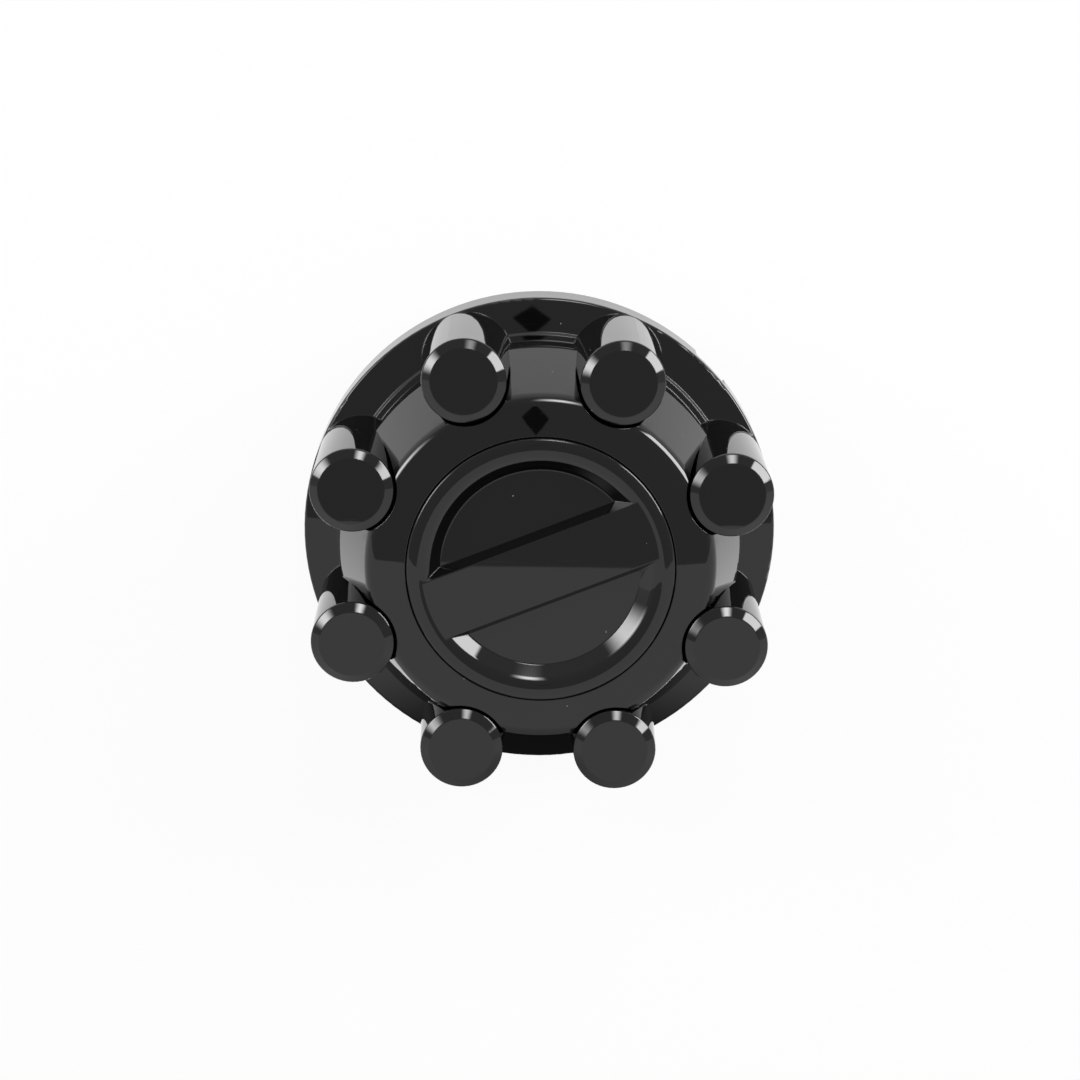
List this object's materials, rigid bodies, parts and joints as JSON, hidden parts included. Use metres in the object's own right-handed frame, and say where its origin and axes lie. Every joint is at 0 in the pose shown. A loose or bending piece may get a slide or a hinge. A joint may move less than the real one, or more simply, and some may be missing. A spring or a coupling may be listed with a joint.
{
  "type": "wheel hub and lug cover",
  "caption": "Gloss black push-on wheel centre cap that covers hub and lug nuts with tall rounded posts, with a twist-off cap in its middle.",
  "frame": {"origin": "on the wheel's axis, at the rear edge of the skirt, which meets the wheel", "axes": "+Z along the wheel's axis, out of the wheel; +Y is 12 o'clock in the picture"},
  "size_m": [0.207, 0.2068, 0.0885],
  "materials": {
    "cover_plastic": "high gloss moulded black",
    "cap_plastic": "high gloss moulded black"
  },
  "bodies": {
    "cover_body": {"cover": "cover_plastic"},
    "cap_body": {"centre_cap": "cap_plastic"}
  },
  "joints": [
    {"name": "cap_twist", "type": "hinge", "parent": "cover_body", "child": "cap_body", "pos_m": [0, 0, 0.0844], "axis": [0, 0, 1], "range_deg": [0, 30]}
  ]
}
